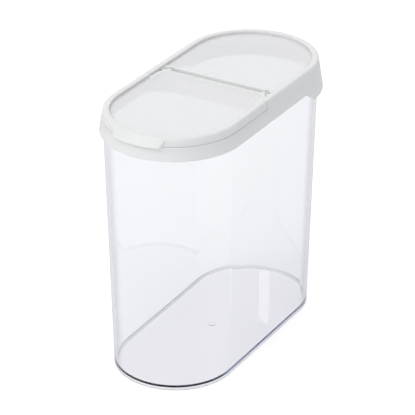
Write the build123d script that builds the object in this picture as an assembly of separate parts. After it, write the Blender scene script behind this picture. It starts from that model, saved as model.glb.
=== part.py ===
from build123d import *
import os
from math import asin, cos, hypot, radians, sin, tan

os.makedirs("parts", exist_ok=True)

# A clear oval jar for dry food, with a white two-part lid. Sizes are in millimetres. +Z is up, the
# jar stands on Z = 0, the flap opens at the front (-Y), and the hinge line runs along X.
# Every oval here keeps one distance, called its radius, from a straight spine along Y.
spine_half = 43.1

# Jar
jar_height = 157.0
jar_base_radius = 36.9
jar_lean = 0.024
jar_wall = 1.7
jar_floor = 1.4
foot_height = 1.4
foot_width = 2.1
foot_edge_rounding = 0.45
floor_corner_rounding = 0.8
gate_mark_radius = 2.2
gate_mark_height = 0.5

# Lid skirt and ring: side_lean is how far the side draws in for each millimetre of height
lid_gap = 0.3
skirt_drop = 5.5
skirt_wall = 2.06
side_lean = 0.1638
opening_inset = 2.17
crown_rounding = 1.3
lip_rounding = 0.4
skirt_edge_rounding = 0.5
ledge_rounding = 0.3

# Heights that stack up from the jar's rim to the top of the lid
seal_height = 1.4
deck_thickness = 1.45
collar_rise = 1.65
flap_seal_height = 0.6
panel_thickness = 1.5
flange_thickness = 1.5

# Collar round the pour opening, and the cross wall that is its rear side
collar_wall = 1.2
cross_wall_front = 0.3
cross_wall_drop = 7.0
cross_wall_rounding = 5.0
pour_corner = 10.0
seal_play = 0.2
flap_seal_inset = 0.1

# Hinge: its line lies behind the cross wall, level with the underside of the panels
hinge_setback = 2.7
pin_radius = 1.25
pin_play = 0.06
pin_length = 6.2
pin_end_play = 0.2
knuckle_radius = 1.9
knuckle_play = 1.0
knuckle_inset = 3.4
knuckle_width = 2.4
arm_side_play = 0.4
arm_width = 3.0
arm_proud = 0.1

# Channel behind the hinge that the flap's rear edge swings into
channel_reach = 4.1
channel_wall = 1.4
channel_floor = 1.2
channel_corner = 6.0

# Flap
split_position = -9.1
split_gap = 0.42
split_rounding = 0.3
seam_gap = 0.1
seam_step = 0.4
foot_rounding = 0.1
flap_side_play = 0.4
panel_play = 0.1
panel_edge_cover = 1.3
shoulder_length = 3.0
bar_width = 2.3
bar_rounding = 0.8
bar_setback = 0.1
flap_corner = 8.0

# Pull tab
tab_half_width = 14.8
tab_slope = 36.0
tab_drop = 0.35
tab_edge = 0.5
tab_gap = 0.35
tab_rounding = 0.3

# Grip lip that hangs from the rear of the skirt
grip_drop = 5.6
grip_hollow = 2.9
grip_edge = 1.0
grip_gap = 0.45
grip_forward = 6.8
grip_end_run = 8.2
grip_rounding = 0.5
grip_corner = 2.0

# Heights worked out from the sizes above
rim_z = jar_height
skirt_bottom_z = rim_z - skirt_drop
deck_bottom_z = rim_z + seal_height
deck_top_z = deck_bottom_z + deck_thickness
collar_top_z = deck_top_z + collar_rise
panel_bottom_z = collar_top_z + flap_seal_height
panel_top_z = panel_bottom_z + panel_thickness
lid_top_z = panel_top_z + flange_thickness
seam_top_z = deck_top_z + seam_gap
hinge_z = panel_bottom_z
channel_top_z = hinge_z - knuckle_radius - knuckle_play
channel_bottom_z = channel_top_z - channel_floor
grip_bottom_z = skirt_bottom_z - grip_drop


def jar_radius(z):
    # Outer radius of the jar at a height
    return jar_base_radius + jar_lean * z


def side_radius(z):
    # Outer radius of the lid's tapered side at a height
    bottom_radius = jar_radius(skirt_bottom_z) + lid_gap + skirt_wall
    return bottom_radius - side_lean * (z - skirt_bottom_z)


# Radii and positions worked out from the sizes above
opening_radius = jar_radius(rim_z) - jar_wall - opening_inset
panel_radius = opening_radius + panel_edge_cover
collar_radius = opening_radius + collar_wall
flap_inner_radius = max(collar_radius, panel_radius) + flap_side_play
hinge_y = cross_wall_front + hinge_setback
channel_rear_y = hinge_y + channel_reach
fixed_end_y = split_position + split_gap / 2
flap_end_y = split_position - split_gap / 2
shoulder_y = flap_end_y - shoulder_length
arm_outer = opening_radius - arm_side_play
arm_inner = arm_outer - arm_width
arm_top_z = panel_top_z + arm_proud
bar_rear_y = hinge_y - bar_setback
bar_front_y = bar_rear_y - bar_width
knuckle_outer = arm_outer - knuckle_inset
knuckle_inner = knuckle_outer - knuckle_width
far = 2 * (spine_half + jar_radius(jar_height))


def profile(corners):
    # Closed face from (across, up, rounding) corners
    points = [(across, up) for across, up, rounding in corners]
    roundings = [rounding for across, up, rounding in corners]
    return make_face(FilletPolyline(*points, radius=roundings, close=True))


def oval_body(corners):
    # Carries a (radius, height) profile all the way round the spine
    section = Plane.XZ * profile(corners)
    rear_end = revolve(Pos(0, spine_half, 0) * section, Axis((0, spine_half, 0), (0, 0, 1)), 180)
    front_end = revolve(Pos(0, -spine_half, 0) * section, Axis((0, -spine_half, 0), (0, 0, -1)), 180)
    right_side = extrude(Pos(0, -spine_half, 0) * section, 2 * spine_half, dir=(0, 1, 0))
    left_side = mirror(right_side, Plane.YZ)
    return rear_end + right_side + left_side + front_end


def oval_plate(radius, bottom, top):
    # Flat oval plate with an upright edge
    outline = Rot(0, 0, 90) * SlotCenterToCenter(2 * spine_half, 2 * radius)
    return extrude(Pos(0, 0, bottom) * outline, top - bottom)


def block(x_range, y_range, z_range):
    # Plain block from three (low, high) pairs
    sizes = [high - low for low, high in (x_range, y_range, z_range)]
    centre = [(high + low) / 2 for low, high in (x_range, y_range, z_range)]
    return Pos(*centre) * Box(*sizes)


def side_prism(corners, x_low, x_high):
    # Carries a (y, z) profile along X
    return extrude(Pos(x_low, 0, 0) * (Plane.YZ * profile(corners)), x_high - x_low, dir=(1, 0, 0))


def both_sides(shape):
    return shape + mirror(shape, Plane.YZ)


def rounded_plate(half_width, y_range, rounding, z_range):
    # Plate across the lid whose two rear corners are rounded in plan
    front, rear = y_range
    outline = Pos(0, (front + rear) / 2) * Rectangle(2 * half_width, rear - front)
    outline = fillet(outline.vertices().group_by(Axis.Y)[-1], rounding)
    return extrude(Pos(0, 0, z_range[0]) * outline, z_range[1] - z_range[0])


def pour_plate(grow, bottom, top):
    # D-shaped plate: the pour opening's outline, moved outwards by grow
    rear_edge = cross_wall_front + grow
    outline = Rot(0, 0, 90) * SlotCenterToCenter(2 * spine_half, 2 * (opening_radius + grow))
    outline = outline - Pos(0, rear_edge + far / 2) * Rectangle(far, far)
    rear_corners = outline.vertices().group_by(Axis.Y)[-1]
    outline = fillet(rear_corners, pour_corner + grow)
    return extrude(Pos(0, 0, bottom) * outline, top - bottom)


def pour_ring(inner_grow, outer_grow, bottom, top):
    return pour_plate(outer_grow, bottom, top) - pour_plate(inner_grow, bottom, top)


def build_jar():
    floor_top = foot_height + jar_floor
    foot_inner = jar_base_radius - foot_width
    rim_rounding = 0.45 * jar_wall
    shell = oval_body([
        (0, foot_height, 0),
        (foot_inner, foot_height, 0),
        (foot_inner, 0, 0),
        (jar_base_radius, 0, foot_edge_rounding),
        (jar_radius(rim_z), rim_z, rim_rounding),
        (jar_radius(rim_z) - jar_wall, rim_z, rim_rounding),
        (jar_radius(floor_top) - jar_wall, floor_top, floor_corner_rounding),
        (0, floor_top, 0),
    ])
    mark = Pos(0, 0, foot_height - gate_mark_height) * Cylinder(
        gate_mark_radius, 2 * gate_mark_height, align=(Align.CENTER, Align.CENTER, Align.MIN))
    return shell + mark


def lid_section(top_z, top_rounding, inner_rounding):
    # The lid's cross-section: skirt outside the jar, wall inside its mouth, and whatever rises above
    skirt_inner_bottom = jar_radius(skirt_bottom_z) + lid_gap
    skirt_inner_top = jar_radius(deck_bottom_z) + lid_gap
    return oval_body([
        (opening_radius, rim_z, 0),
        (collar_radius, rim_z, 0),
        (collar_radius, deck_bottom_z, 0),
        (skirt_inner_top, deck_bottom_z, 0),
        (skirt_inner_bottom, skirt_bottom_z, 0),
        (side_radius(skirt_bottom_z), skirt_bottom_z, skirt_edge_rounding),
        (side_radius(top_z), top_z, top_rounding),
        (opening_radius, top_z, inner_rounding),
    ])


def skirt_and_ring():
    # Skirt and deck all the way round, and the ring on their rear half, behind the flap
    keep = side_prism([
        (fixed_end_y, 0, 0),
        (far, 0, 0),
        (far, lid_top_z, 0),
        (fixed_end_y, lid_top_z, split_rounding),
    ], -far, far)
    ring = lid_section(lid_top_z, crown_rounding, lip_rounding) & keep
    return lid_section(deck_top_z, ledge_rounding, 0) + ring


def cross_wall():
    # Collar round the pour opening; its rear side goes on down into the jar as the cross wall
    collar = pour_ring(0, collar_wall, rim_z, collar_top_z)
    bottom = rim_z - cross_wall_drop
    wall = pour_ring(0, collar_wall, bottom, collar_top_z)
    front_view = Plane.XZ * profile([
        (-collar_radius, bottom, cross_wall_rounding),
        (collar_radius, bottom, cross_wall_rounding),
        (collar_radius, collar_top_z, 0),
        (-collar_radius, collar_top_z, 0),
    ])
    wall_start = cross_wall_front - pour_corner
    wall = wall & extrude(Pos(0, wall_start, 0) * front_view, far, dir=(0, 1, 0))
    return collar + wall


def channel():
    # Floor and rear wall of the cross channel, with rounded corners where it meets the ring
    wall_rear_y = channel_rear_y + channel_wall
    side = (opening_radius + collar_radius) / 2
    floor_front_y = cross_wall_front - pour_corner
    floor = block((-side, side), (floor_front_y, wall_rear_y), (channel_bottom_z, channel_top_z))
    floor = floor - pour_plate(0, channel_bottom_z, channel_top_z)
    rear_wall = block((-side, side), (channel_rear_y, wall_rear_y), (channel_bottom_z, panel_bottom_z))
    corner_front_y = channel_rear_y - channel_corner
    corners = block((-side, side), (corner_front_y, channel_rear_y), (channel_bottom_z, panel_top_z))
    corners = corners - rounded_plate(
        opening_radius, (floor_front_y, channel_rear_y), channel_corner, (channel_bottom_z, panel_top_z))
    return floor + rear_wall + corners


def grip_lip():
    # Lip that hangs below the rear of the skirt, with sloped ends
    inner_top_z = grip_bottom_z + grip_hollow
    inner_radius = jar_radius(inner_top_z) + grip_gap
    overlap_z = skirt_bottom_z + skirt_edge_rounding
    lip = oval_body([
        (inner_radius, inner_top_z, 0),
        (side_radius(grip_bottom_z) - grip_edge, grip_bottom_z, 0),
        (side_radius(grip_bottom_z), grip_bottom_z, grip_rounding),
        (side_radius(overlap_z), overlap_z, 0),
        (inner_radius, overlap_z, 0),
    ])
    start_y = spine_half - grip_forward
    slope = grip_end_run / grip_drop
    rise = overlap_z - skirt_bottom_z
    keep = side_prism([
        (start_y - rise * slope, overlap_z, 0),
        (start_y + grip_end_run, grip_bottom_z, grip_corner),
        (far, grip_bottom_z, 0),
        (far, overlap_z, 0),
    ], -far, far)
    return lip & keep


def pin_hole():
    hole_length = pin_length + pin_end_play
    return Pos(knuckle_outer, hinge_y, hinge_z) * (Rot(0, 90, 0) * Cylinder(
        pin_radius + pin_play, hole_length, align=(Align.CENTER, Align.CENTER, Align.MIN)))


def build_lid_frame():
    frame = skirt_and_ring() + cross_wall() + channel() + grip_lip()
    pocket = oval_plate(panel_radius + panel_play, panel_bottom_z, panel_top_z)
    frame = frame - (pocket & block((-far, far), (channel_rear_y, far), (0, lid_top_z)))
    frame = frame - pour_ring(0, collar_wall, collar_top_z, panel_bottom_z)
    return frame - both_sides(pin_hole())


def build_rear_window():
    panel = oval_plate(panel_radius, panel_bottom_z, panel_top_z)
    return panel & block((-far, far), (channel_rear_y, far), (0, lid_top_z))


def build_lid_gasket():
    inner_radius = collar_radius + seal_play
    outer_radius = jar_radius(rim_z) + lid_gap - seal_play
    return oval_plate(outer_radius, rim_z, deck_bottom_z) - oval_plate(inner_radius, rim_z, deck_bottom_z)


def build_flap_gasket():
    return pour_ring(flap_seal_inset, collar_wall - flap_seal_inset, collar_top_z, panel_bottom_z)


def flap_ring():
    # Downturned rim of the flap, ending just in front of the fixed ring. Its foot stands back from the
    # deck's edge, which leaves a narrow ledge along the seam.
    ring = oval_body([
        (flap_inner_radius, seam_top_z, lip_rounding),
        (side_radius(seam_top_z) - seam_step, seam_top_z, foot_rounding),
        (side_radius(lid_top_z), lid_top_z, crown_rounding),
        (opening_radius, lid_top_z, lip_rounding),
        (opening_radius, panel_top_z, 0),
        (flap_inner_radius, panel_top_z, 0),
    ])
    keep = side_prism([
        (-far, 0, 0),
        (flap_end_y, 0, 0),
        (flap_end_y, lid_top_z, split_rounding),
        (-far, lid_top_z, 0),
    ], -far, far)
    return ring & keep


def pull_tab():
    # The tab's face leaves the crown as a tangent and slopes outwards and down to its lower edge
    crown_centre_z = lid_top_z - crown_rounding
    crown_centre_radius = side_radius(crown_centre_z) - crown_rounding * hypot(1, side_lean)
    slope = radians(tab_slope)
    top_radius = crown_centre_radius + crown_rounding * cos(slope)
    top_z = crown_centre_z + crown_rounding * sin(slope)
    bottom_z = seam_top_z - tab_drop
    tip_z = bottom_z + tab_edge
    tip_radius = top_radius + (top_z - tip_z) * tan(slope)
    under_radius = side_radius(bottom_z) + tab_gap
    section = Plane.XZ * profile([
        (flap_inner_radius + lip_rounding, seam_top_z, 0),
        (under_radius, seam_top_z, 0),
        (under_radius, bottom_z, 0),
        (tip_radius - tab_edge / 2, bottom_z, tab_rounding),
        (tip_radius, tip_z, tab_rounding),
        (top_radius, top_z, 0),
        (flap_inner_radius + lip_rounding, top_z, 0),
    ])
    body = revolve(Pos(0, -spine_half, 0) * section, Axis((0, -spine_half, 0), (0, 0, -1)), 180)
    turn = asin(tab_half_width / tip_radius)
    corner = Vector(sin(turn), -cos(turn)) * tip_radius
    along = Vector(sin(turn - radians(45)), -cos(turn - radians(45)))
    outer = corner + along * tip_radius / 4
    inner = corner - along * tip_radius / 4
    plan = make_face(Polyline(
        (outer.X, outer.Y), (inner.X, inner.Y), (-inner.X, inner.Y), (-outer.X, outer.Y), close=True))
    keep = extrude(Pos(0, -spine_half, bottom_z) * plan, lid_top_z - bottom_z)
    return body & keep


def window_plate(top):
    # The space between the flap's side arms and cross bar, from the panels' underside up
    return rounded_plate(
        arm_inner, (shoulder_y, bar_front_y), flap_corner - arm_width, (panel_bottom_z, top))


def rear_frame():
    # Side arms and cross bar in one, with the bar's upper rear edge rounded
    frame = rounded_plate(
        arm_outer, (shoulder_y, bar_rear_y), flap_corner, (panel_bottom_z, arm_top_z))
    keep = side_prism([
        (-far, panel_bottom_z, 0),
        (bar_rear_y, panel_bottom_z, 0),
        (bar_rear_y, arm_top_z, bar_rounding),
        (-far, arm_top_z, 0),
    ], -far, far)
    return (frame & keep) - window_plate(arm_top_z)


def hinge_end():
    # Shoulder that ties the arm to the ring, and the ear, knuckle and stub pin at the hinge line
    shoulder_side = flap_inner_radius + lip_rounding
    shoulder = block((arm_inner, shoulder_side), (shoulder_y, flap_end_y), (panel_bottom_z, arm_top_z))
    ear = block((knuckle_inner, knuckle_outer), (bar_front_y, hinge_y), (panel_bottom_z, arm_top_z))
    knuckle = Pos(knuckle_inner, hinge_y, hinge_z) * (Rot(0, 90, 0) * Cylinder(
        knuckle_radius, knuckle_width, align=(Align.CENTER, Align.CENTER, Align.MIN)))
    pin = Pos(knuckle_outer, hinge_y, hinge_z) * (Rot(0, 90, 0) * Cylinder(
        pin_radius, pin_length, align=(Align.CENTER, Align.CENTER, Align.MIN)))
    return shoulder + ear + knuckle + pin


def build_flap_frame():
    return flap_ring() + pull_tab() + rear_frame() + both_sides(hinge_end())


def build_flap_window():
    edge_radius = flap_inner_radius - panel_play
    panel = oval_plate(edge_radius, panel_bottom_z, panel_top_z)
    front = panel & block((-far, far), (-far, shoulder_y), (0, lid_top_z))
    return front + window_plate(panel_top_z)


parts = {
    "jar": build_jar(),
    "lid_frame": build_lid_frame(),
    "rear_window": build_rear_window(),
    "lid_gasket": build_lid_gasket(),
    "flap_frame": build_flap_frame(),
    "flap_window": build_flap_window(),
    "flap_gasket": build_flap_gasket(),
}

for name, shape in parts.items():
    export_step(shape, "parts/" + name + ".step")
    box = shape.bounding_box()
    print(name, len(shape.solids()), round(shape.volume, 1), [round(v, 2) for v in (*box.min, *box.max)])
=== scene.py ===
import bpy
import math
import numpy as np
from mathutils import Matrix, Vector


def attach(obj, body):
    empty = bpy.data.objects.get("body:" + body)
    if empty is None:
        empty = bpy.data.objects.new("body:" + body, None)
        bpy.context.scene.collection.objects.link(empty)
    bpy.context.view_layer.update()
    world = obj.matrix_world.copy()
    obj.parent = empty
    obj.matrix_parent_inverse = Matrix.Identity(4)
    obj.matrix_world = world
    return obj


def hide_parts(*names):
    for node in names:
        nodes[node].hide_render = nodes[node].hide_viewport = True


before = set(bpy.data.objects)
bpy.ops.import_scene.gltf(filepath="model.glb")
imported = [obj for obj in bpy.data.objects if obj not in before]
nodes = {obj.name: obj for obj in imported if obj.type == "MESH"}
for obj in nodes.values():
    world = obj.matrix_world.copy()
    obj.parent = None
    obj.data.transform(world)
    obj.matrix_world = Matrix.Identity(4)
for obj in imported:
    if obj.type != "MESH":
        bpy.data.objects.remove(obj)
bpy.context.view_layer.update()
print("frame loaded:", ", ".join(sorted(nodes)))

mm = 0.001
near = 1e-4    # points closer than this, in mm, are one


def nodeBox(name):
    # Lowest and highest corner of a CAD node, in mm
    corners = np.array(nodes[name].bound_box) / mm
    return corners.min(0), corners.max(0)


jarHigh = nodeBox("jar")[1]
rearLow, rearHigh = nodeBox("rear_window")
flapHigh = nodeBox("flap_window")[1]
# Every oval keeps one distance, its radius, from a spine: a straight line along Y, spineHalf long each way
spineHalf = jarHigh[1] - jarHigh[0]


# Surfaces
def roundCorners(corners, closed):
    # Corners are (a, b, rounding, steps) with the solid on the left of the walk. Each one becomes the arc
    # that touches both of its runs. Gives points and outward directions, (tangent b, -tangent a)
    points, outwards = [], []
    count = len(corners)
    for i, (a, b, rounding, steps) in enumerate(corners):
        here = np.array([a, b], float)
        before = here - np.array(corners[i - 1][:2])
        after = np.array(corners[(i + 1) % count][:2]) - here
        before, after = before / np.linalg.norm(before), after / np.linalg.norm(after)
        if not closed and i in (0, count - 1):
            run = after if i == 0 else before
            points.append(here)
            outwards.append(np.array([run[1], -run[0]]))
            continue
        turn = math.atan2(before[0] * after[1] - before[1] * after[0], before @ after)
        side = np.array([-before[1], before[0]]) * math.copysign(1, turn)
        centre = here - before * rounding * math.tan(abs(turn) / 2) + side * rounding
        swing = turn * np.linspace(0, 1, steps + 1)
        arm = np.stack([-side[0] * np.cos(swing) + side[1] * np.sin(swing),
                        -side[0] * np.sin(swing) - side[1] * np.cos(swing)], 1)
        points.extend(centre + rounding * arm)
        outwards.extend(arm * math.copysign(1, turn))
    return np.array(points), np.array(outwards)


def bothSides(rightSide):
    # Right half of an outline, walked from front to rear, and then its mirror image (-x, y) back to the front
    return rightSide + [(-x, y, rounding, steps) for x, y, rounding, steps in reversed(rightSide)]


def planLine(corners, longest):
    # Closed outline seen from above, without doubled points and with long straight runs split up
    points, outwards = roundCorners(corners, True)
    keep = np.linalg.norm(np.roll(points, -1, 0) - points, axis=1) > near
    points, outwards = points[keep], outwards[keep]
    ahead = np.roll(points, -1, 0) - points
    parts = np.maximum(np.ceil(np.linalg.norm(ahead, axis=1) / longest).astype(int), 1)
    index = np.repeat(np.arange(len(points)), parts)
    share = ((np.arange(len(index)) - np.repeat(np.cumsum(parts) - parts, parts)) / parts[index])[:, None]
    middle = outwards[index] + np.roll(outwards, -1, 0)[index]
    middle /= np.linalg.norm(middle, axis=1, keepdims=True)
    return points[index] + ahead[index] * share, np.where(share > 0, middle, outwards[index])


def carry(plan, planOut, corners):
    # Profile carried along a plan outline: (x, y) = plan + planOut * a, z = b, for each profile point (a, b)
    profile, profileOut = roundCorners(corners, False)
    a, b = profile[:, None, :1], profile[:, None, 1:]
    outA, outB = profileOut[:, None, :1], profileOut[:, None, 1:]
    flat = np.ones((len(profile), len(plan), 1))
    return (np.concatenate([plan[None] + planOut[None] * a, flat * b], 2),
            np.concatenate([planOut[None] * outA, flat * outB], 2))


def drawIn(edge, spot, shares, up):
    # Level rows between an edge and a spot: (x, y) = spot + (edge - spot) * share
    middle = np.array([*spot, edge[0, 2]])
    rows = middle + (edge - middle)[None] * np.array(shares)[:, None, None]
    return rows, np.broadcast_to([0.0, 0.0, up], rows.shape)


def makeShell(name, stack, spot):
    # Closed surface from stacks of rows that all run round the same way, closed over the spot at both ends
    rows = np.concatenate([part[0] for part in stack])
    outs = np.concatenate([part[1] for part in stack])
    count, around = rows.shape[:2]
    verts = np.vstack([rows.reshape(-1, 3), [*spot, rows[0, 0, 2]], [*spot, rows[-1, 0, 2]]])
    normals = np.vstack([outs.reshape(-1, 3), [0, 0, -1], [0, 0, 1]])
    here = np.arange(around)
    following = (here + 1) % around
    low = np.arange(count - 1)[:, None] * around
    high = low + around
    quads = np.stack([low + here, low + following, high + following, high + here], 2).reshape(-1, 4)
    last = (count - 1) * around
    under = np.stack([np.full(around, len(verts) - 2), following, here], 1)
    over = np.stack([np.full(around, len(verts) - 1), last + here, last + following], 1)
    mesh = bpy.data.meshes.new(name)
    mesh.from_pydata((verts * mm).tolist(), [], quads.tolist() + under.tolist() + over.tolist())
    mesh.polygons.foreach_set("use_smooth", np.ones(len(mesh.polygons), bool))
    mesh.update()
    mesh.normals_split_custom_set_from_vertices(normals.tolist())
    piece = bpy.data.objects.new(name, mesh)
    bpy.context.scene.collection.objects.link(piece)
    return piece, verts


def setFrost(piece, frost):
    # How matt the clear plastic is at each vertex, 0 to 1
    layer = piece.data.attributes.new("frost", "FLOAT", "POINT")
    layer.data.foreach_set("value", np.asarray(frost, np.float32))


jarSpec = {    # mm
    "lean": 0.024, "wall": 1.7, "rimShare": 0.45, "floorTop": 2.8,
    "footHeight": 1.4, "footWidth": 2.1, "footFrost": 0.5,
    "edgeRounding": 0.45, "innerRounding": 0.8, "footRounding": 0.15,
    "markRadius": 2.2, "markHeight": 0.5, "markRounding": 0.08,
    "markCore": 0.3, "markStart": 0.1, "markSpread": 40,
    "loopRadius": 0.5, "longest": 3.0, "endSteps": 64, "edgeSteps": 10, "fineSteps": 3,
    "underRun": 3.0, "underRows": (0.3, 0.6), "floorRun": 4.0, "floorRows": (0.7, 0.35),
}


def makeGateMark(plan, planOut, spec):
    # Small round mark under the middle of the floor, with one point for each point of the jar's plan line
    aim = plan + planOut * spec["markSpread"]
    turn = np.arctan2(aim[:, 1], aim[:, 0])
    outwards = np.stack([np.cos(turn), np.sin(turn)], 1)
    core, rounding, steps = spec["markCore"], spec["markRounding"], spec["fineSteps"]
    side, high = spec["markRadius"] - core, spec["footHeight"]
    low = high - spec["markHeight"]
    return carry(outwards * core, outwards, [
        (spec["markStart"], low, 0, 1),
        (side, low, rounding, steps),
        (side, high, rounding, steps),
        (side + core, high, 0, 1),
    ])


def makeJar(spec):
    # Its plan line is a thin loop round the spine, and the profile is measured outwards from that loop
    loop, end = spec["loopRadius"], spineHalf + spec["loopRadius"]
    steps, fineSteps = spec["edgeSteps"], spec["fineSteps"]
    ends = [(loop, -end, loop, spec["endSteps"]), (loop, end, loop, spec["endSteps"])]
    plan, planOut = planLine(bothSides(ends), spec["longest"])
    wall, height = spec["wall"], jarHigh[2]
    rim = spec["rimShare"] * wall
    base = jarHigh[0] - spec["lean"] * (height - rim) - loop    # widest where the rim starts to turn in
    top = base + spec["lean"] * height
    foot, footTop = base - spec["footWidth"], spec["footHeight"]
    inner = base + spec["lean"] * spec["floorTop"] - wall
    walls = carry(plan, planOut, [
        (foot - spec["underRun"], footTop, 0, 1),
        (foot, footTop, spec["footRounding"], fineSteps),
        (foot, 0, spec["footRounding"], fineSteps),
        (base, 0, spec["edgeRounding"], steps),
        (top, height, rim, steps),
        (top - wall, height, rim, steps),
        (inner, spec["floorTop"], spec["innerRounding"], steps),
        (inner - spec["floorRun"], spec["floorTop"], 0, 1),
    ])
    middle = (0, 0)
    mark = makeGateMark(plan, planOut, spec)
    under = drawIn(walls[0][0], middle, spec["underRows"], -1)
    over = drawIn(walls[0][-1], middle, spec["floorRows"], 1)
    piece, verts = makeShell("clear_jar", [mark, under, walls, over], middle)
    setFrost(piece, np.where(verts[:, 2] < near, spec["footFrost"], 0))    # the ring it stands on
    return piece


jar = makeJar(jarSpec)
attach(jar, "jar")
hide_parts("jar")
print("jar:", len(jar.data.polygons), "faces")

windowSpec = {    # mm
    "play": 0.04, "topPlay": 0.01, "edge": 0.15, "flatRun": 0.1, "rows": (0.5, 0.9),
    "longest": 4.0, "endSteps": 48, "lowSteps": 4, "topSteps": 8,
    "noseRounding": 1.0, "rearCorner": 1.6, "rearCornerSteps": 8, "rearSpot": (0, 38),
    "shoulder": -12.31, "shoulderRounding": 0.5, "shoulderSteps": 6,
    "armInner": 33.4, "barCorner": 5.0, "barCornerSteps": 12, "flapSpot": (0, -28),
}


def makePanel(name, rightSide, spot, topEdge, spec):
    # Flat panel between the two heights of the CAD's windows, with a frosted edge
    plan, planOut = planLine(bothSides(rightSide), spec["longest"])
    play, edge, flat = spec["play"], spec["edge"], spec["flatRun"]
    low, high = rearLow[2] + play, rearHigh[2] - spec["topPlay"]
    rim = carry(plan, planOut, [
        (-play - edge - flat, low, 0, 1),
        (-play, low, edge, spec["lowSteps"]),
        (-play, high, topEdge, spec["topSteps"]),
        (-play - topEdge - flat, high, 0, 1),
    ])
    under = drawIn(rim[0][0], spot, spec["rows"], -1)
    over = drawIn(rim[0][-1], spot, spec["rows"][::-1], 1)
    piece, verts = makeShell(name, [under, rim, over], spot)
    around, underRows, rimRows = len(plan), len(under[0]), len(rim[0])
    frost = np.zeros(len(verts))
    frost[around * (underRows + 1):around * (underRows + rimRows - 1)] = 1    # the rim without its flat rows
    setFrost(piece, frost)
    return piece


def makeWindows(spec):
    rearSide, rearTip = rearHigh[0], spineHalf + rearHigh[0]
    flapSide, flapTip = flapHigh[0], spineHalf + flapHigh[0]
    shoulder, rounding, steps = spec["shoulder"], spec["shoulderRounding"], spec["shoulderSteps"]
    rear = makePanel("rear_panel", [
        (rearSide, rearLow[1], spec["rearCorner"], spec["rearCornerSteps"]),
        (rearSide, rearTip, rearSide, spec["endSteps"]),
    ], spec["rearSpot"], spec["noseRounding"], spec)
    flap = makePanel("flap_panel", [
        (flapSide, -flapTip, flapSide, spec["endSteps"]),
        (flapSide, shoulder, rounding, steps),
        (spec["armInner"], shoulder, rounding, steps),
        (spec["armInner"], flapHigh[1], spec["barCorner"], spec["barCornerSteps"]),
    ], spec["flapSpot"], spec["edge"], spec)
    return rear, flap


rearPanel, flapPanel = makeWindows(windowSpec)
for panel, body, node in ((rearPanel, "lid", "rear_window"), (flapPanel, "flap", "flap_window")):
    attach(panel, body)
    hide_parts(node)
print("panels:", len(rearPanel.data.polygons), "and", len(flapPanel.data.polygons), "faces")


# Materials
def addNode(tree, kind, values):
    node = tree.nodes.new(kind)
    for key, value in values.items():
        node.inputs[key].default_value = value
    return node


def addMath(tree, operation, first, second=None, third=None):
    # Math node with sockets or numbers for its inputs; gives its output
    node = tree.nodes.new("ShaderNodeMath")
    node.operation = operation
    for i, value in enumerate((first, second, third)):
        if isinstance(value, (int, float)):
            node.inputs[i].default_value = value
        elif value is not None:
            tree.links.new(value, node.inputs[i])
    return node.outputs[0]


def addColorMix(tree, factor, first, second):
    # Mix node between two colours, where the first may be a socket; gives its output
    node = tree.nodes.new("ShaderNodeMix")
    node.data_type = "RGBA"
    tree.links.new(factor, node.inputs["Factor"])
    if isinstance(first, tuple):
        node.inputs[6].default_value = (*first, 1)
    else:
        tree.links.new(first, node.inputs[6])
    node.inputs[7].default_value = (*second, 1)
    return node.outputs[2]


def makePlastic(name, spec):
    # Principled plastic on Object coordinates: two near tints drift into each other, the gloss drifts with
    # them, and a fine grain gives the bump
    material = bpy.data.materials.new(name)
    material.use_nodes = True
    tree = material.node_tree
    shader = tree.nodes["Principled BSDF"]
    for key, value in spec["shader"].items():
        shader.inputs[key].default_value = value
    place = tree.nodes.new("ShaderNodeTexCoord").outputs["Object"]
    broad = addNode(tree, "ShaderNodeTexNoise", {"Scale": spec["broadScale"], "Detail": 3.0})
    fine = addNode(tree, "ShaderNodeTexNoise", {"Scale": spec["fineScale"], "Detail": 2.0})
    gloss = addNode(tree, "ShaderNodeMapRange", {"To Min": spec["rough"][0], "To Max": spec["rough"][1]})
    bump = addNode(tree, "ShaderNodeBump", {"Strength": spec["bump"], "Distance": spec["depth"]})
    link = tree.links.new
    link(place, broad.inputs["Vector"])
    link(place, fine.inputs["Vector"])
    link(addColorMix(tree, broad.outputs["Fac"], *spec["tints"]), shader.inputs["Base Color"])
    link(broad.outputs["Fac"], gloss.inputs["Value"])
    link(gloss.outputs["Result"], shader.inputs["Roughness"])
    link(fine.outputs["Fac"], bump.inputs["Height"])
    link(bump.outputs["Normal"], shader.inputs["Normal"])
    return material


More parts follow.
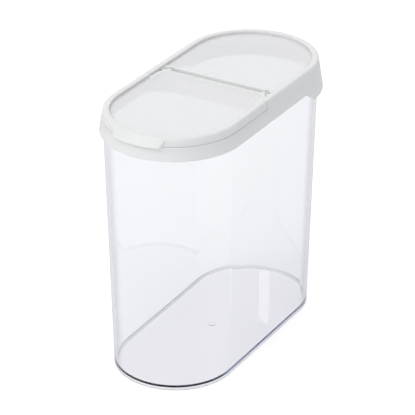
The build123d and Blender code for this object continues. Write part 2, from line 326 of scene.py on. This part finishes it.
def makeClear(name, spec):
    # Clear plastic: tinted by its depth, with painted shade where its walls turn edge on, matt where the
    # frost attribute says so, and lamp light and bounce light go straight through it
    material = makePlastic(name, spec)
    tree = material.node_tree
    link = tree.links.new
    shader, output = tree.nodes["Principled BSDF"], tree.nodes["Material Output"]
    tint, gloss = [shader.inputs[key].links[0].from_socket for key in ("Base Color", "Roughness")]
    # Painted shade: the tint darkens where the walls turn edge on, standing in for the darker surroundings
    # their edges reflect
    edgeOn = tree.nodes.new("ShaderNodeLayerWeight").outputs["Facing"]
    edgeShade = addNode(tree, "ShaderNodeMapRange", {"From Min": spec["edgeShadeFrom"], "From Max": spec["edgeShadeTo"]})
    link(edgeOn, edgeShade.inputs["Value"])
    link(addColorMix(tree, edgeShade.outputs["Result"], tint, spec["edgeShadeColor"]), shader.inputs["Base Color"])
    # roughness = gloss + frost * frostRough and transmission = max(1 - haze - frost * frostWhite, 0)
    attribute = tree.nodes.new("ShaderNodeAttribute")
    attribute.attribute_name = "frost"
    frost = attribute.outputs["Fac"]
    rough = addMath(tree, "MULTIPLY_ADD", frost, spec["frostRough"], gloss)
    clear = addMath(tree, "MULTIPLY_ADD", frost, -spec["frostWhite"], 1.0 - spec["haze"])
    link(rough, shader.inputs["Roughness"])
    link(addMath(tree, "MAXIMUM", clear, 0.0), shader.inputs["Transmission Weight"])
    paths = tree.nodes.new("ShaderNodeLightPath").outputs
    through = addNode(tree, "ShaderNodeBsdfTransparent", {"Color": (*spec["pass"], 1)})
    depth = addNode(tree, "ShaderNodeVolumeAbsorption",
                    {"Color": (*spec["depthColor"], 1), "Density": spec["density"]})
    mix = tree.nodes.new("ShaderNodeMixShader")
    link(addMath(tree, "MAXIMUM", paths["Is Shadow Ray"], paths["Is Diffuse Ray"]), mix.inputs["Fac"])
    link(shader.outputs[0], mix.inputs[1])
    link(through.outputs[0], mix.inputs[2])
    link(mix.outputs[0], output.inputs["Surface"])
    link(depth.outputs[0], output.inputs["Volume"])
    return material


whiteSpec = {
    "shader": {"IOR": 1.49, "Subsurface Weight": 0.35, "Subsurface Scale": 0.002,
               "Subsurface Radius": (1, 1, 1)},
    "tints": ((0.83, 0.835, 0.84), (0.86, 0.865, 0.865)),
    "broadScale": 25.0, "fineScale": 1100.0, "rough": (0.32, 0.42), "bump": 0.1, "depth": 0.0002,
}
clearSpec = {
    "shader": {"IOR": 1.5},
    "tints": ((0.99, 0.99, 0.99), (1.0, 1.0, 1.0)),
    "broadScale": 30.0, "fineScale": 45.0, "rough": (0.0, 0.03), "bump": 0.03, "depth": 0.0004,
    "frostRough": 0.3, "frostWhite": 1.0, "haze": 0.0,
    "pass": (0.954, 0.946, 0.946), "depthColor": (0.45, 0.5, 0.66), "density": 42.0,
    # Painted shade on the jar's edge-on walls: its colour and the Facing range it spreads over
    "edgeShadeColor": (0.58, 0.58, 0.62), "edgeShadeFrom": 0.56, "edgeShadeTo": 0.88,
}
panelSpec = {
    **clearSpec, "tints": ((0.855, 0.855, 0.865), (0.875, 0.875, 0.885)), "edgeShadeTo": 2.0,
    "haze": 0.5, "depthColor": (0.6, 0.6, 0.65), "density": 8.0,
}
sealSpec = {
    "shader": {"IOR": 1.41, "Subsurface Weight": 0.3, "Subsurface Scale": 0.002},
    "tints": ((0.74, 0.75, 0.75), (0.80, 0.80, 0.80)),
    "broadScale": 60.0, "fineScale": 900.0, "rough": (0.45, 0.6), "bump": 0.1, "depth": 0.0002,
}
whitePlastic = makePlastic("white_plastic", whiteSpec)
silicone = makePlastic("silicone", sealSpec)
jar.data.materials.append(makeClear("clear_plastic", clearSpec))
hazyPlastic = makeClear("panel_plastic", panelSpec)
for piece in (rearPanel, flapPanel):
    piece.data.materials.append(hazyPlastic)
for node, material in (("lid_frame", whitePlastic), ("flap_frame", whitePlastic),
                       ("lid_gasket", silicone), ("flap_gasket", silicone)):
    for slot in nodes[node].material_slots:
        slot.material = material
print("materials set")


# Studio
def makeSheet(name, corners, paintName, shaderValues):
    # Flat four-cornered piece of the studio with its own paint; gives it with the paint's node tree
    mesh = bpy.data.meshes.new(name)
    mesh.from_pydata(corners, [], [(0, 1, 2, 3)])
    sheet = bpy.data.objects.new(name, mesh)
    bpy.context.scene.collection.objects.link(sheet)
    paint = bpy.data.materials.new(paintName)
    paint.use_nodes = True
    shader = paint.node_tree.nodes["Principled BSDF"]
    shader.inputs["Emission Color"].default_value = (1, 1, 1, 1)
    for key, value in shaderValues.items():
        shader.inputs[key].default_value = value
    mesh.materials.append(paint)
    return sheet, paint.node_tree


floorSpec = {
    "drop": 0.0003, "reach": 6, "color": (0.86, 0.86, 0.87), "rough": 0.9,
    "cameraGlow": 0.38, "seenGlow": 0.228, "mirrorGlow": 0.05,
}


def makeFloor(spec):
    # Glows by who looks at it: the camera itself, through clear plastic, or by reflection
    reach, drop = spec["reach"], -spec["drop"]
    corners = [(-reach, -reach, drop), (reach, -reach, drop), (reach, reach, drop), (-reach, reach, drop)]
    tree = makeSheet("floor", corners, "floor_paint", {
        "Base Color": (*spec["color"], 1), "Roughness": spec["rough"], "Specular IOR Level": 0.0})[1]
    paths = tree.nodes.new("ShaderNodeLightPath").outputs
    glow = addMath(tree, "MULTIPLY", paths["Is Transmission Ray"], spec["seenGlow"])
    glow = addMath(tree, "MULTIPLY_ADD", paths["Is Glossy Ray"], spec["mirrorGlow"], glow)
    glow = addMath(tree, "MULTIPLY_ADD", paths["Is Camera Ray"], spec["cameraGlow"], glow)
    tree.links.new(glow, tree.nodes["Principled BSDF"].inputs["Emission Strength"])


makeFloor(floorSpec)

cardSpec = {
    "place": (-0.219, 0.4514, 0.2448), "across": (0.009, 0.0054, 0.0),
    "leftHeight": 0.046, "rightHeight": 0.055, "glow": 1.5,
}


def makeCard(spec):
    # Small light card far behind the jar: only its reflection shows, as a bright bar on the jar's floor
    left, right = Vector(spec["place"]), Vector(spec["place"]) + Vector(spec["across"])
    leftTop, rightTop = left + Vector((0, 0, spec["leftHeight"])), right + Vector((0, 0, spec["rightHeight"]))
    corners = [left, right, rightTop, leftTop]
    card = makeSheet("light_card", corners, "card_paint", {"Emission Strength": spec["glow"]})[0]
    card.visible_camera = card.visible_diffuse = card.visible_shadow = False


makeCard(cardSpec)

worldSpec = {
    "color": (0.98, 0.99, 1.0), "ahead": (0.55, 0.46, 0.79), "behind": (0.3, 1.18, 0.0),
    "toBackdrop": (-0.454, 0.767, 0.462), "backdrop": 0.9, "backdropPower": 8.0,
}


def addVectorMath(tree, operation, first, second):
    node = tree.nodes.new("ShaderNodeVectorMath")
    node.operation = operation
    for socket, value in zip(node.inputs, (first, second)):
        if isinstance(value, (tuple, Vector)):
            socket.default_value = value
        else:
            tree.links.new(value, socket)
    return node.outputs["Value" if operation == "DOT_PRODUCT" else "Vector"]


def addSideLight(tree, direction, brightness):
    # sum(max(direction, 0)^2 * brightness)
    part = addVectorMath(tree, "MAXIMUM", direction, (0.0, 0.0, 0.0))
    part = addVectorMath(tree, "MULTIPLY", part, part)
    return addVectorMath(tree, "DOT_PRODUCT", part, brightness)


def makeWorld(spec):
    # Each side of the room has its own brightness, and d is the direction looked in. strength =
    # sum(max(d, 0)^2 * ahead) + sum(max(-d, 0)^2 * behind) + backdrop * max(d . toBackdrop, 0)^backdropPower,
    # and 1 where the camera looks straight at it
    world = bpy.data.worlds.new("studio")
    world.use_nodes = True
    tree = world.node_tree
    way = tree.nodes.new("ShaderNodeTexCoord").outputs["Generated"]
    opposite = addVectorMath(tree, "MULTIPLY", way, (-1.0, -1.0, -1.0))
    facing = addVectorMath(tree, "DOT_PRODUCT", way, Vector(spec["toBackdrop"]).normalized())
    lobe = addMath(tree, "POWER", addMath(tree, "MAXIMUM", facing, 0.0), spec["backdropPower"])
    strength = addMath(tree, "ADD", addSideLight(tree, way, spec["ahead"]),
                       addSideLight(tree, opposite, spec["behind"]))
    strength = addMath(tree, "MULTIPLY_ADD", lobe, spec["backdrop"], strength)
    paths = tree.nodes.new("ShaderNodeLightPath").outputs
    strength = addMath(tree, "MAXIMUM", strength, paths["Is Camera Ray"])
    background = tree.nodes["Background"]
    tree.links.new(strength, background.inputs["Strength"])
    background.inputs["Color"].default_value = (*spec["color"], 1)
    bpy.context.scene.world = world


makeWorld(worldSpec)

lampSpec = {
    "place": (-0.7, -1.1, 1.5), "aim": (0, 0, 0.1), "size": (1.0, 1.0), "power": 7,
    "color": (1.0, 0.98, 0.93),
}


def makeLamp(spec):
    light = bpy.data.lights.new("soft_box", "AREA")
    light.shape = "RECTANGLE"
    light.size, light.size_y = spec["size"]
    light.energy = spec["power"]
    light.color = spec["color"]
    lamp = bpy.data.objects.new("soft_box", light)
    lamp.location = spec["place"]
    lamp.rotation_euler = (Vector(spec["aim"]) - lamp.location).to_track_quat("-Z", "Y").to_euler()
    bpy.context.scene.collection.objects.link(lamp)


makeLamp(lampSpec)

cameraSpec = {
    "place": (0.59008, -1.00073, 0.68672), "right": (0.85996, 0.51036, 0.00027),
    "up": (-0.23617, 0.39669, 0.88705), "focalPixels": 2194.9, "pixels": 415, "sensor": 36,
    "nearest": 0.01, "farthest": 50,
}


def makeCamera(spec):
    lens = bpy.data.cameras.new("camera")
    lens.sensor_width = spec["sensor"]
    lens.lens = spec["focalPixels"] / spec["pixels"] * spec["sensor"]
    lens.clip_start, lens.clip_end = spec["nearest"], spec["farthest"]
    camera = bpy.data.objects.new("camera", lens)
    right, up = Vector(spec["right"]).normalized(), Vector(spec["up"]).normalized()
    turned = Matrix((right, up, right.cross(up))).transposed().to_4x4()
    camera.matrix_world = Matrix.Translation(spec["place"]) @ turned
    bpy.context.scene.collection.objects.link(camera)
    bpy.context.scene.camera = camera


makeCamera(cameraSpec)
bpy.context.scene.view_settings.view_transform = "Standard"
bounces = 40    # light runs a long way inside the jar's floor and the panels
cycles = bpy.context.scene.cycles
cycles.max_bounces = cycles.glossy_bounces = bounces
cycles.transmission_bounces = cycles.transparent_max_bounces = bounces
print("studio set")
